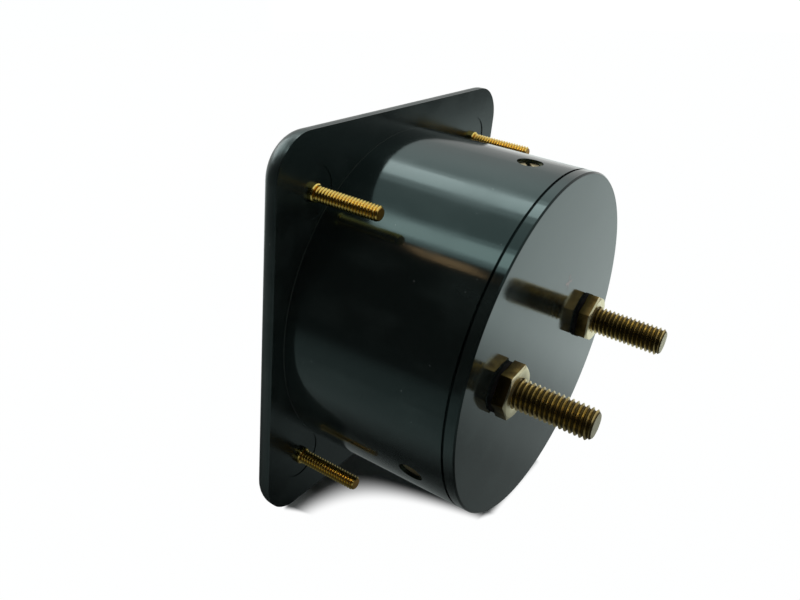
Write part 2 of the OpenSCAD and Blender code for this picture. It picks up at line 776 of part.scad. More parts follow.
module dial_plate() color([0.93, 0.92, 0.86]) plate(y_dial, y_dial_back) difference() {
    arch(dial_r, dial_low);
    translate([0, move_z]) circle(r = dial_cut_r);
    for (s = [-1, 1]) {
        translate([s * pillar_x, pillar_z]) circle(d = fine_d + 0.2);
        translate([s * stop_r * sin(stop_a), move_z + stop_r * cos(stop_a)])
            circle(d = stop_d + 2 * seat_gap, $fn = 32);
    }
}

module dial_screws() color([0.5, 0.5, 0.5]) for (s = [-1, 1])
    fine_screw(y_dial, y_dial_back + fine_bite - 0.6, s * pillar_x, pillar_z);

module pointer_stops() color([0.7, 0.7, 0.7]) for (s = [-1, 1])
    rod(y_pointer - 0.4, y_dial_back + 0.2, stop_d, s * stop_r * sin(stop_a),
        move_z + stop_r * cos(stop_a), $fn = 32);

// ---- Moving coil, drawn at mid-scale and turned to zero ----

module coil_loop(half, y0) {
    soft_rect(2 * half, 2 * (y_mid - y0), 0.6);
}

module coil_former() color([0.8, 0.8, 0.82]) at_zero() translate([0, y_mid, 0])
    linear_extrude(coil_w, center = true) difference() {
        coil_loop(former_out, y_coil + winding_t);
        coil_loop(former_in, y_coil + winding_t + former_t);
    }

module coil_winding() color([0.72, 0.35, 0.18]) at_zero() translate([0, y_mid, 0])
    linear_extrude(coil_w - 0.4, center = true) difference() {
        coil_loop(winding_out, y_coil);
        coil_loop(former_out, y_coil + winding_t);
    }

// Pivot base cemented on the coil's end, with its staff and hardened point
module pivot() color([0.7, 0.7, 0.72]) on_pivot()
    turned() polygon([[0, y_jewel_end - pivot_dip], [0.06, y_jewel_end - pivot_dip],
        [staff_d / 2, y_jewel_end + 0.4], [staff_d / 2, y_pivot_base], [1.5, y_pivot_base],
        [1.5, y_coil], [0, y_coil]]);

module pointer() color([0.1, 0.1, 0.1]) at_zero() difference() {
    union() {
        rod(y_hub, y_hub + hub_t, hub_d);
        plate(y_pointer, y_pointer + pointer_t) {
            polygon([[-pointer_root_w / 2, 0], [-pointer_tip_w / 2, pointer_len - pointer_tip_len],
                [0, pointer_len], [pointer_tip_w / 2, pointer_len - pointer_tip_len],
                [pointer_root_w / 2, 0]]);
            square([2 * balance_len, balance_w], center = true);
            translate([-balance_w / 2, -balance_len - 0.6])
                square([balance_w, balance_len + 0.6]);
        }
    }
    rod(y_hub - 1, y_hub + hub_t + 1, staff_d + 2 * seat_gap);
}

// Sleeve on a balance arm
module weight(len) {
    translate([balance_len - len - 0.1, y_pointer + pointer_t / 2, 0]) difference() {
        rotate([0, 90, 0]) cylinder(h = len, d = weight_d, $fn = 32);
        translate([-1, -pointer_t / 2 - seat_gap, -balance_w / 2 - seat_gap])
            cube([len + 2, pointer_t + 2 * seat_gap, balance_w + 2 * seat_gap]);
    }
}

module counterweights() color([0.78, 0.6, 0.25]) at_zero() {
    weight(weight_len);
    rotate([0, 180, 0]) weight(weight_len);
    rotate([0, 90, 0]) weight(weight_len + 1);
}

// Flat spiral from the collet to the tab above the pivot line, drawn as one closed outline
function spiral(r0, r1, turns, n) = [for (i = [0 : n]) let (t = i / n, a = 90 - 360 * turns
    * (1 - t), r = r0 + (r1 - r0) * t) [r * cos(a), r * sin(a)]];

module hairspring() color([0.8, 0.55, 0.35]) on_pivot() {
    n = round(24 * spring_turns);
    outer = spiral(spring_in + spring_t / 2, spring_out + spring_t / 2, spring_turns, n);
    inner = spiral(spring_in - spring_t / 2, spring_out - spring_t / 2, spring_turns, n);
    plate(y_spring, y_spring + spring_h)
        polygon(concat(outer, [for (i = [n : -1 : 0]) inner[i]]));
    difference() {
        rod(y_spring - 0.05, y_spring + spring_h + 0.1, collet_d);
        rod(y_spring - 1, y_spring + 1, staff_d + 2 * seat_gap);
    }
}

// ---- Zero adjuster, a slotted screw held by a clip, with an eccentric pin ----

module zero_adjuster() color([0.08, 0.08, 0.08]) {
    y_head = y_front + head_sink;
    translate([0, 0, adj_z]) difference() {
        turned() polygon([[0, y_head], [adj_head_d / 2 - 0.3, y_head],
            [adj_head_d / 2, y_head + 0.3], [adj_head_d / 2, y_head_back],
            [adj_shank_d / 2, y_head_back], [adj_shank_d / 2, y_boss + axial_gap],
            [clip_groove_d / 2, y_boss + axial_gap],
            [clip_groove_d / 2, y_boss + axial_gap + clip_t + 0.02],
            [adj_shank_d / 2, y_boss + axial_gap + clip_t + 0.02],
            [adj_shank_d / 2, y_shank_end], [0, y_shank_end]]);
        translate([-adj_head_d, y_head - 1, -0.5]) cube([2 * adj_head_d, 1.7, 1]);
    }
    rod(y_shank_end - 0.6, y_arm + arm_t + 0.4, adj_pin_d, 0, adj_z - adj_throw);
}

// Spring clip, open on one side, that snaps into the shank's groove
module adjuster_clip() color("silver")
    plate(y_boss + axial_gap, y_boss + axial_gap + clip_t) difference() {
        translate([0, adj_z]) circle(d = clip_d);
        translate([0, adj_z]) circle(d = clip_groove_d + 2 * seat_gap);
        translate([-clip_groove_d / 2 * 0.8, adj_z])
            square([clip_groove_d * 0.8, clip_d]);
    }

// ---- Nodes ----

case();
window_gasket();
window_glass();
glass_retainer();
mounting_studs();
rear_base();
case_screws();
lug_inserts();
terminal_stud(-1);  // terminal_stud_pos
terminal_stud(1);  // terminal_stud_neg
terminal_nut(-1, nut_turn_pos);  // terminal_nut_pos
terminal_nut(1, nut_turn_neg);  // terminal_nut_neg
terminal_washer(-1);  // terminal_washer_pos
terminal_washer(1);  // terminal_washer_neg
solder_lug(-1);  // solder_lug_pos
solder_lug(1);  // solder_lug_neg
shunt_strip();
lead_pos();
lead_neg();
movement_frame();
pillars();
magnet();
pole_piece(-1);  // pole_piece_left
pole_piece(1);  // pole_piece_right
core();
core_bracket(1);  // core_bracket_top
core_bracket(-1);  // core_bracket_bottom
core_screws();
front_bridge();
rear_bridge();
bridge_screws(y_pole + fine_bite);  // front_bridge_screws
to_rear() bridge_screws(2 * y_mid - y_frame + fine_bite);  // rear_bridge_screws
jewel_screw();  // front_jewel_screw
to_rear() jewel_screw();  // rear_jewel_screw
lock_nut();  // front_lock_nut
to_rear() lock_nut();  // rear_lock_nut
rear_spring_arm();
dial_posts();
dial_plate();
dial_screws();
pointer_stops();
coil_former();
coil_winding();
pivot();  // front_pivot
to_rear() pivot();  // rear_pivot
pointer();
counterweights();
hairspring();  // front_hairspring
to_rear() hairspring();  // rear_hairspring
zero_arm();
zero_adjuster();
adjuster_clip();
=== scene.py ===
import math

import bpy
from mathutils import Matrix, Vector


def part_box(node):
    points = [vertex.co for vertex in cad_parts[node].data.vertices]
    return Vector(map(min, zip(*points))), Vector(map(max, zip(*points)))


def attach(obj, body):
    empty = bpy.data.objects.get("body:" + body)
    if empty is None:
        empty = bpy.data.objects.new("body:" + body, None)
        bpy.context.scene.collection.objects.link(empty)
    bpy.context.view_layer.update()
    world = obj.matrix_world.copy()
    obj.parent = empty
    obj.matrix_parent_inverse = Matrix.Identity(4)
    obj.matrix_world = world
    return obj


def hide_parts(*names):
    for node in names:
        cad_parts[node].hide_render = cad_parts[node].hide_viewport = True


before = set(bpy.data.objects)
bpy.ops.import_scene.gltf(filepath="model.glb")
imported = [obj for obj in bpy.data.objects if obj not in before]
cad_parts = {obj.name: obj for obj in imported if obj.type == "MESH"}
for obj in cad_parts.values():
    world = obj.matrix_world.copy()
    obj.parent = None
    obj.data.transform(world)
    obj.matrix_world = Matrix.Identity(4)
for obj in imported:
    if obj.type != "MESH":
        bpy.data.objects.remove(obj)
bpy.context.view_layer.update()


# ---- Case ----
# The case is one black phenolic moulding: a square flange with a round barrel behind it. It comes
# out of a polished mould, so it is glossy, with faint draw lines along the barrel and a little dust.

mm = 0.001


def clear():
    """Leaves nothing selected, so that the next operator acts on new work alone."""
    bpy.ops.object.select_all(action="DESELECT")


def new_material(name):
    """A material with its tree, its Principled shader and the object's own coordinates."""
    material = bpy.data.materials.new(name)
    material.use_nodes = True
    tree = material.node_tree
    place = tree.nodes.new("ShaderNodeTexCoord")
    return material, tree, tree.nodes["Principled BSDF"], place.outputs["Object"]


def dress(node, material):
    """Gives a CAD node its finish through its material slots."""
    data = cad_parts[node].data
    if not data.materials:
        data.materials.append(material)
    for i in range(len(data.materials)):
        data.materials[i] = material


def new_group(name, inputs, outputs):
    """An empty node group with the named inputs and outputs, and its two end nodes."""
    group = bpy.data.node_groups.new(name, "ShaderNodeTree")
    kinds = {"value": "NodeSocketFloat", "colour": "NodeSocketColor", "vector": "NodeSocketVector"}
    for label, kind, default in inputs:
        socket = group.interface.new_socket(name=label, in_out="INPUT", socket_type=kinds[kind])
        if default is not None:
            socket.default_value = default
    for label, kind in outputs:
        group.interface.new_socket(name=label, in_out="OUTPUT", socket_type=kinds[kind])
    return group, group.nodes.new("NodeGroupInput"), group.nodes.new("NodeGroupOutput")


def placed(tree, group, **values):
    """Puts a node group into a material with its own values."""
    node = tree.nodes.new("ShaderNodeGroup")
    node.node_tree = group
    for label, value in values.items():
        node.inputs[label.replace("_", " ")].default_value = value
    return node


def math_node(tree, operation, a, b=None, c=None):
    """A maths node fed by sockets or by plain numbers."""
    node = tree.nodes.new("ShaderNodeMath")
    node.operation = operation
    for socket, value in zip(node.inputs, (a, b, c)):
        if isinstance(value, (int, float)):
            socket.default_value = value
        elif value is not None:
            tree.links.new(value, socket)
    return node.outputs[0]


def noise(tree, place, scale, detail=2.0, stretch=(1, 1, 1)):
    """Noise of a given scale, drawn out along an axis where stretch is small."""
    mapping = tree.nodes.new("ShaderNodeMapping")
    mapping.inputs["Scale"].default_value = stretch
    texture = tree.nodes.new("ShaderNodeTexNoise")
    texture.inputs["Scale"].default_value = scale
    texture.inputs["Detail"].default_value = detail
    tree.links.new(place, mapping.inputs["Vector"])
    tree.links.new(mapping.outputs["Vector"], texture.inputs["Vector"])
    return texture.outputs["Fac"]


def between(tree, value, low, high, to_low=0.0, to_high=1.0):
    """Maps a range of values to another, and holds it there."""
    node = tree.nodes.new("ShaderNodeMapRange")
    node.interpolation_type = "SMOOTHSTEP"
    tree.links.new(value, node.inputs["Value"])
    node.inputs["From Min"].default_value = low
    node.inputs["From Max"].default_value = high
    node.inputs["To Min"].default_value = to_low
    node.inputs["To Max"].default_value = to_high
    return node.outputs["Result"]


def two_colours(tree, factor, first, second):
    """A mix of two colours by a mask."""
    node = tree.nodes.new("ShaderNodeMix")
    node.data_type = "RGBA"
    tree.links.new(factor, node.inputs["Factor"])
    for socket, colour in ((node.inputs[6], first), (node.inputs[7], second)):
        if isinstance(colour, bpy.types.NodeSocket):
            tree.links.new(colour, socket)
        else:
            socket.default_value = (*colour, 1.0)
    return node.outputs[2]


# Draw lines, haze and dust on polished phenolic
moulded_gloss, group_in, group_out = new_group(
    "moulded_gloss",
    [("Place", "vector", None), ("Polish", "value", 0.1), ("Haze", "value", 0.1),
     ("Dust", "value", 1.0)],
    [("Roughness", "value"), ("Dust", "value"), ("Height", "value")],
)
place = group_in.outputs["Place"]
lines = noise(moulded_gloss, place, 1.0, 3.0, (900, 26, 900))
cloud = noise(moulded_gloss, place, 95.0, 4.0)
fine = noise(moulded_gloss, place, 2200.0, 2.0)
patches = noise(moulded_gloss, place, 260.0, 3.0)
rough = math_node(moulded_gloss, "MULTIPLY", between(moulded_gloss, cloud, 0.4, 0.7),
                  group_in.outputs["Haze"])
rough = math_node(moulded_gloss, "ADD", rough, group_in.outputs["Polish"])
rough = math_node(moulded_gloss, "MULTIPLY_ADD", lines, 0.03, rough)
moulded_gloss.links.new(rough, group_out.inputs["Roughness"])
specks = moulded_gloss.nodes.new("ShaderNodeTexVoronoi")
specks.inputs["Scale"].default_value = 620.0
moulded_gloss.links.new(place, specks.inputs["Vector"])
speck = between(moulded_gloss, specks.outputs["Distance"], 0.03, 0.07, 1.0, 0.0)
speck = math_node(moulded_gloss, "MULTIPLY", speck, between(moulded_gloss, patches, 0.56, 0.62))
speck = math_node(moulded_gloss, "MULTIPLY", speck, group_in.outputs["Dust"])
moulded_gloss.links.new(speck, group_out.inputs["Dust"])
height = math_node(moulded_gloss, "MULTIPLY_ADD", lines, 0.7,
                   math_node(moulded_gloss, "MULTIPLY", fine, 0.3))
moulded_gloss.links.new(height, group_out.inputs["Height"])


def phenolic(name, polish, haze, dust, relief):
    """Black phenolic: how rough its polish and haze are, how dusty it is, and how far it ripples."""
    black = (0.0075, 0.0100, 0.0092)
    material, tree, shader, place = new_material(name)
    surface = placed(tree, moulded_gloss, Polish=polish, Haze=haze, Dust=dust)
    tree.links.new(place, surface.inputs["Place"])
    smudges = between(tree, noise(tree, place, 120.0, 6.0, (1.0, 0.5, 1.0)), 0.46, 0.72)
    handled = two_colours(tree, smudges, black, tuple(2.1 * c for c in black))
    tree.links.new(two_colours(tree, surface.outputs["Dust"], handled, (0.22, 0.24, 0.23)),
                   shader.inputs["Base Color"])
    tree.links.new(surface.outputs["Roughness"], shader.inputs["Roughness"])
    bump = tree.nodes.new("ShaderNodeBump")
    bump.inputs["Strength"].default_value = relief
    bump.inputs["Distance"].default_value = 0.00001
    tree.links.new(surface.outputs["Height"], bump.inputs["Height"])
    tree.links.new(bump.outputs["Normal"], shader.inputs["Normal"])
    shader.inputs["IOR"].default_value = 1.62
    shader.inputs["Specular Tint"].default_value = (0.65, 1.0, 0.985, 1.0)
    return material


def places_in(material):
    """A material's tree, its shader, and the object's X, Y and Z in it."""
    tree = material.node_tree
    axes = tree.nodes.new("ShaderNodeSeparateXYZ")
    tree.links.new(tree.nodes["Texture Coordinate"].outputs["Object"], axes.inputs["Vector"])
    return tree, tree.nodes["Principled BSDF"], axes


def from_axis(tree, axes, x=0.0, z=0.0):
    """How far a point lies from a line along Y at (x, z), or from its mirror images."""
    across = math_node(tree, "SUBTRACT", math_node(tree, "ABSOLUTE", axes.outputs["X"]), x)
    along = math_node(tree, "SUBTRACT", math_node(tree, "ABSOLUTE", axes.outputs["Z"]), z)
    squares = math_node(tree, "MULTIPLY_ADD", along, along,
                        math_node(tree, "MULTIPLY", across, across))
    return math_node(tree, "SQRT", squares)


# The flange is duller than the barrel, and a pale line where the two meet is a painted highlight on
# the join
barrel_r = 35 * mm
case_phenolic = phenolic("case_phenolic", 0.08, 0.07, 1.0, 0.6)
tree, shader, axes = places_in(case_phenolic)
flange = between(tree, axes.outputs["Y"], 0.05 * mm, 0.3 * mm, 1.0, 0.0)
front_and_sides = between(tree, axes.outputs["Y"], -0.4 * mm, -0.1 * mm, 1.0, 0.0)
rough = shader.inputs["Roughness"].links[0].from_socket
rough = math_node(tree, "MULTIPLY_ADD", flange, 0.10, rough)
tree.links.new(math_node(tree, "MULTIPLY_ADD", front_and_sides, 0.12, rough),
               shader.inputs["Roughness"])
tree.links.new(math_node(tree, "MULTIPLY_ADD", flange, -0.14, 0.5),
               shader.inputs["Specular IOR Level"])
reach = from_axis(tree, axes)
join_highlight = between(tree, math_node(tree, "ABSOLUTE", math_node(tree, "SUBTRACT", reach, barrel_r)),
               0.04 * mm, 0.14 * mm, 1.0, 0.0)
for full, none in ((0.1 * mm, 0.25 * mm), (-0.1 * mm, -0.25 * mm)):
    join_highlight = math_node(tree, "MULTIPLY", join_highlight,
                     between(tree, axes.outputs["Y"], full, none, 1.0, 0.0))
# Painted highlight: the join of barrel and flange is painted paler than the black phenolic
dusted = shader.inputs["Base Color"].links[0].from_socket
tree.links.new(two_colours(tree, join_highlight, dusted, (0.030, 0.034, 0.031)), shader.inputs["Base Color"])
dress("case", case_phenolic)


# ---- Window ----
# The window is a pane of clear glass in the shape of a D. It lies on a thin rubber gasket inside
# the front wall, and a spring wire ring that snaps against the barrel holds it there.

gasket_rubber, tree, shader, place = new_material("gasket_rubber")
tree.links.new(two_colours(tree, noise(tree, place, 700.0, 3.0), (0.012, 0.012, 0.012),
                           (0.035, 0.034, 0.032)), shader.inputs["Base Color"])
shader.inputs["Roughness"].default_value = 0.75
dress("window_gasket", gasket_rubber)

clear_glass, tree, shader, place = new_material("clear_glass")
shader.inputs["Base Color"].default_value = (0.95, 0.985, 0.97, 1.0)
shader.inputs["IOR"].default_value = 1.52
shader.inputs["Transmission Weight"].default_value = 1.0
tree.links.new(between(tree, noise(tree, place, 60.0, 4.0), 0.45, 0.75, 0.0, 0.05),
               shader.inputs["Roughness"])
let_light_in = tree.nodes.new("ShaderNodeMixShader")
see_through = tree.nodes.new("ShaderNodeBsdfTransparent")
see_through.inputs["Color"].default_value = (0.9, 0.94, 0.92, 1.0)
tree.links.new(tree.nodes.new("ShaderNodeLightPath").outputs["Is Shadow Ray"],
               let_light_in.inputs["Fac"])
tree.links.new(shader.outputs["BSDF"], let_light_in.inputs[1])
tree.links.new(see_through.outputs["BSDF"], let_light_in.inputs[2])
tree.links.new(let_light_in.outputs["Shader"], tree.nodes["Material Output"].inputs["Surface"])
dress("window_glass", clear_glass)

# Fine drawing marks and a varying polish on a bare metal
worked_metal, group_in, group_out = new_group(
    "worked_metal",
    [("Place", "vector", None), ("Scale", "value", 600.0), ("Polish", "value", 0.2),
     ("Spread", "value", 0.15), ("Fresh", "colour", (0.8, 0.8, 0.8, 1)),
     ("Aged", "colour", (0.3, 0.3, 0.3, 1)), ("Ageing", "value", 0.5)],
    [("Color", "colour"), ("Roughness", "value"), ("Height", "value")],
)
place = group_in.outputs["Place"]
blotch = worked_metal.nodes.new("ShaderNodeTexNoise")
blotch.inputs["Detail"].default_value = 5.0
worked_metal.links.new(place, blotch.inputs["Vector"])
worked_metal.links.new(group_in.outputs["Scale"], blotch.inputs["Scale"])
grain = noise(worked_metal, place, 5200.0, 2.0)
aged = between(worked_metal, blotch.outputs["Fac"], 0.38, 0.66)
aged = math_node(worked_metal, "MULTIPLY", aged, group_in.outputs["Ageing"])
worked_metal.links.new(two_colours(worked_metal, aged, group_in.outputs["Fresh"],
                                   group_in.outputs["Aged"]), group_out.inputs["Color"])
rough = math_node(worked_metal, "MULTIPLY_ADD", blotch.outputs["Fac"],
                  group_in.outputs["Spread"], group_in.outputs["Polish"])
worked_metal.links.new(rough, group_out.inputs["Roughness"])
worked_metal.links.new(grain, group_out.inputs["Height"])


def metal(name, fresh, aged, ageing, polish, spread=0.15, scale=600.0, relief=0.2, metallic=1.0):
    """A bare metal with its fresh and its aged colour, and how far it is aged and polished."""
    material, tree, shader, place = new_material(name)
    surface = placed(tree, worked_metal, Scale=scale, Polish=polish, Spread=spread, Ageing=ageing,
                     Fresh=(*fresh, 1.0), Aged=(*aged, 1.0))
    tree.links.new(place, surface.inputs["Place"])
    tree.links.new(surface.outputs["Color"], shader.inputs["Base Color"])
    tree.links.new(surface.outputs["Roughness"], shader.inputs["Roughness"])
    bump = tree.nodes.new("ShaderNodeBump")
    bump.inputs["Strength"].default_value = relief
    bump.inputs["Distance"].default_value = 0.00001
    tree.links.new(surface.outputs["Height"], bump.inputs["Height"])
    tree.links.new(bump.outputs["Normal"], shader.inputs["Normal"])
    shader.inputs["Metallic"].default_value = metallic
    return material


spring_wire = metal("spring_wire", (0.62, 0.62, 0.63), (0.34, 0.33, 0.32), 0.6, 0.2)
dress("glass_retainer", spring_wire)


# ---- Zero adjuster ----
# A slotted black phenolic screw stands in a boss of the case, and a spring clip in its groove
# holds it. Its eccentric pin turns the forked brass arm, which carries one hairspring's end.

dress("zero_adjuster", phenolic("adjuster_phenolic", 0.16, 0.1, 0.6, 0.5))
dress("adjuster_clip", spring_wire)
sheet_brass = metal("sheet_brass", (0.70, 0.50, 0.19), (0.40, 0.27, 0.10), 0.5, 0.26, 0.2, 420.0)
dress("zero_arm", sheet_brass)


# ---- Mounting studs ----
# Four brass studs are moulded into the back of the flange. Each has a plain collar at its foot,
# a rolled 40-per-inch thread and a chamfered tip, and a nut pulls the meter against its panel.

def select_where(obj, kind, test):
    """In edit mode, selects the vertices, edges or faces whose centre passes a test."""
    bpy.ops.mesh.select_mode(type=kind)
    bpy.ops.mesh.select_all(action="DESELECT")
    bpy.ops.object.mode_set(mode="OBJECT")
    data = obj.data
    if kind == "VERT":
        for v in data.vertices:
            v.select = bool(test(v.co))
    elif kind == "EDGE":
        for e in data.edges:
            a, b = (data.vertices[i].co for i in e.vertices)
            e.select = bool(test((a + b) / 2, b - a))
    else:
        for p in data.polygons:
            p.select = bool(test(p.center, p.normal))
    bpy.ops.object.mode_set(mode="EDIT")


def active(obj):
    """Makes a piece the only selected one."""
    clear()
    obj.select_set(True)
    bpy.context.view_layer.objects.active = obj


def settle(obj):
    """Puts a piece's place into its mesh."""
    active(obj)
    bpy.ops.object.transform_apply(location=True, rotation=True, scale=True)


def boolean(obj, other, operation):
    """Cuts, joins or crosses a piece with another, which is used up."""
    active(obj)
    cut = obj.modifiers.new("cut", "BOOLEAN")
    cut.operation = operation
    cut.object = other
    cut.solver = "EXACT"
    bpy.ops.object.modifier_apply(modifier=cut.name)
    bpy.data.objects.remove(other)


def chamfered_rod(name, radius, y0, y1, tip):
    """A rod along Y on the middle line, with a chamfer of a given width round its rear end."""
    clear()
    bpy.ops.mesh.primitive_cylinder_add(vertices=64, radius=radius, depth=y1 - y0,
                                        location=(0, (y0 + y1) / 2, 0),
                                        rotation=(-math.pi / 2, 0, 0))
    rod = bpy.context.object
    rod.name = name
    settle(rod)
    if tip > 0:
        bpy.ops.object.mode_set(mode="EDIT")
        select_where(rod, "EDGE", lambda c, d: abs(c.y - y1) < 1e-6)
        bpy.ops.mesh.bevel(offset=tip, segments=1, affect="EDGES")
        bpy.ops.object.mode_set(mode="OBJECT")
    return rod


def threaded_rod(name, radius, pitch, depth, y0, y1, tip, steps=48):
    """A rod along Y with a right-hand thread, cut to length with a chamfered tip."""
    root = radius - depth
    clear()
    bpy.ops.mesh.primitive_plane_add(size=pitch, location=(root + pitch / 2, y0 - pitch / 2, 0))
    rod = bpy.context.object
    rod.name = name
    settle(rod)
    bpy.ops.object.mode_set(mode="EDIT")
    select_where(rod, "VERT", lambda c: c.x > root + pitch / 2)
    bpy.ops.mesh.delete(type="VERT")
    bpy.ops.mesh.select_all(action="SELECT")
    bpy.ops.mesh.subdivide(number_cuts=5)
    low = y0 - pitch
    for share, rise, shift in ((1 / 6, 0.0, -0.02), (2 / 6, 0.82, 0.09), (3 / 6, 1.0, 0.0),
                               (4 / 6, 0.82, -0.09), (5 / 6, 0.0, 0.02)):
        select_where(rod, "VERT", lambda c: abs(c.y - low - share * pitch) < pitch * 0.02
                     and c.x < root + 1e-7)
        bpy.ops.transform.translate(value=(rise * depth, shift * pitch, 0))
    bpy.ops.object.mode_set(mode="OBJECT")
    screw = rod.modifiers.new("screw", "SCREW")
    screw.axis = "Y"
    screw.angle = 2 * math.pi
    screw.screw_offset = pitch
    screw.iterations = math.ceil((y1 - y0) / pitch) + 2
    screw.steps = steps
    screw.render_steps = steps
    screw.use_smooth_shade = False
    active(rod)
    bpy.ops.object.modifier_apply(modifier=screw.name)
    bpy.ops.object.mode_set(mode="EDIT")
    bpy.ops.mesh.select_all(action="SELECT")
    bpy.ops.mesh.remove_doubles(threshold=1e-6)
    bpy.ops.mesh.fill_holes(sides=0)
    bpy.ops.mesh.select_all(action="SELECT")
    bpy.ops.mesh.normals_make_consistent(inside=False)
    bpy.ops.object.mode_set(mode="OBJECT")
    boolean(rod, chamfered_rod("length", radius + 0.02 * mm, y0, y1, tip), "INTERSECT")
    return rod


def copies(piece, places):
    """Copies of a finished piece, each with its own mesh, moved to their places and joined."""
    made = []
    for place in places:
        active(piece)
        bpy.ops.object.duplicate(linked=False)
        copy = bpy.context.object
        bpy.ops.transform.translate(value=place)
        made.append(copy)
    bpy.data.objects.remove(piece)
    clear()
    for copy in made:
        copy.select_set(True)
    bpy.context.view_layer.objects.active = made[0]
    if len(made) > 1:
        bpy.ops.object.join()
    settle(made[0])
    return made[0]


def keep(piece, name, body, material, smooth=35):
    """Names a finished piece, and gives it its finish and the body that it rides on."""
    settle(piece)
    piece.name = name
    piece.data.name = name
    piece.data.materials.clear()
    piece.data.materials.append(material)
    for polygon in piece.data.polygons:
        polygon.material_index = 0
    bpy.ops.object.shade_smooth_by_angle(angle=math.radians(smooth))
    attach(piece, body)
    return piece


def painted_root_shade(material, x, z, root, crest, root_shade):
    """Darkens threads to a brown painted shade between their crests and dulls them there, on rods at
    (x, z) and its mirror images.
    """
    tree, shader, axes = places_in(material)
    low_down = between(tree, from_axis(tree, axes, x, z), root, crest, 1.0, 0.0)
    bright = shader.inputs["Base Color"].links[0].from_socket
    tree.links.new(two_colours(tree, low_down, bright, root_shade), shader.inputs["Base Color"])
    rough = shader.inputs["Roughness"].links[0].from_socket
    tree.links.new(math_node(tree, "MULTIPLY_ADD", low_down, 0.25, rough),
                   shader.inputs["Roughness"])


gold_brass = metal("gold_brass", (1.0, 0.76, 0.22), (0.88, 0.57, 0.12), 0.5, 0.12, 0.14, 900.0)
low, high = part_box("mounting_studs")
stud_r = 1.42 * mm
stud_pitch = 0.635 * mm
stud_thread = 0.36 * mm
collar_r = 1.75 * mm
collar_y = 0.8 * mm
stud_half = high.x - collar_r
# Painted shade: the studs' threads are painted brown between their crests
painted_root_shade(gold_brass, stud_half, stud_half, stud_r - stud_thread, stud_r - stud_thread / 2,
            (0.48, 0.26, 0.05))
stud = threaded_rod("stud", stud_r, stud_pitch, stud_thread, collar_y / 2, high.y, 0.35 * mm)
boolean(stud, chamfered_rod("collar", collar_r, low.y, collar_y, 0.2 * mm), "UNION")
studs = copies(stud, [(x, 0, z) for x in (-stud_half, stud_half) for z in (-stud_half, stud_half)])
keep(studs, "threaded_studs", "housing", gold_brass, 32)
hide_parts("mounting_studs")


# ---- Rear base ----
# The base is a second phenolic moulding that plugs into the barrel. Only its rim and its flat,
# well-polished disc show, and a small worn red cross by one terminal marks the positive one.

# The narrow chamfer between the rim and the disc is dull
base_phenolic = phenolic("base_phenolic", 0.06, 0.06, 0.7, 0.35)
tree, shader, axes = places_in(base_phenolic)
reach = from_axis(tree, axes)
plate_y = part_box("rear_base")[1].y
edge = math_node(tree, "MULTIPLY",
                 between(tree, reach, barrel_r - 0.5 * mm, barrel_r - 0.38 * mm),
                 between(tree, axes.outputs["Y"], plate_y - 0.36 * mm, plate_y - 0.26 * mm))
tree.links.new(math_node(tree, "MULTIPLY_ADD", edge, -0.28, 0.5),
               shader.inputs["Specular IOR Level"])
dress("rear_base", base_phenolic)

sign_paint, tree, shader, place = new_material("sign_paint")
tree.links.new(two_colours(tree, between(tree, noise(tree, place, 800.0, 3.0), 0.42, 0.6),
                           (0.15, 0.07, 0.065), (0.018, 0.016, 0.015)),
               shader.inputs["Base Color"])
shader.inputs["Roughness"].default_value = 0.12
shader.inputs["IOR"].default_value = 1.6
clear()
sign_x = -5.6 * mm
sign_z = 12.2 * mm
half = 0.3 * mm
arm = 1.4 * mm
paint_t = 0.012 * mm
bpy.ops.mesh.primitive_plane_add(size=2 * half, location=(sign_x, plate_y, sign_z),
                                 rotation=(-math.pi / 2, 0, 0))
cross = bpy.context.object
settle(cross)
bpy.ops.object.mode_set(mode="EDIT")
bpy.ops.mesh.select_all(action="SELECT")
bpy.ops.mesh.extrude_region_move(TRANSFORM_OT_translate={"value": (0, paint_t, 0)})
bpy.ops.mesh.select_all(action="SELECT")
bpy.ops.mesh.normals_make_consistent(inside=False)
middle = (sign_x, 0, sign_z)
for axis in (0, 2):
    for side in (-1, 1):
        select_where(cross, "FACE", lambda c, n: abs(c[axis] - middle[axis] - side * half) < 1e-6
                     and abs(c[2 - axis] - middle[2 - axis]) < half / 2)
        step = [0.0, 0.0, 0.0]
        step[axis] = side * arm
        bpy.ops.mesh.extrude_region_move(TRANSFORM_OT_translate={"value": step})
bpy.ops.mesh.select_all(action="SELECT")
bpy.ops.mesh.normals_make_consistent(inside=False)
bpy.ops.object.mode_set(mode="OBJECT")
keep(cross, "positive_sign", "housing", sign_paint)


# ---- Case screws ----
# Three slotted brass screws stand in round holes in the barrel, a third of a turn apart. Each runs
# into a threaded brass insert in a lug of the base, and so holds the base in the barrel.

screw_brass = metal("screw_brass", (0.80, 0.69, 0.45), (0.52, 0.41, 0.22), 0.5, 0.36)
dress("case_screws", screw_brass)
dress("lug_inserts", screw_brass)


# ---- Terminals ----
# Each terminal is a long 28-per-inch brass stud with a hexagon head inside the base. A nut over a
# dark fibre washer clamps it, and the brass is painted dark brown between its threads as painted
# shade.

term_x = 19.05 * mm
term_r = 2.9 * mm
term_pitch = 0.907 * mm
term_thread = 0.5 * mm
hexagon_flats = 9.2 * mm
terminal_brass = metal("terminal_brass", (0.62, 0.48, 0.19), (0.29, 0.205, 0.07), 0.65, 0.18, 0.2,
                       700.0)
# Painted shade: the terminals' threads are painted dark brown between their crests
painted_root_shade(terminal_brass, term_x, 0.0, term_r - term_thread, term_r - 0.28 * mm,
            (0.085, 0.060, 0.020))


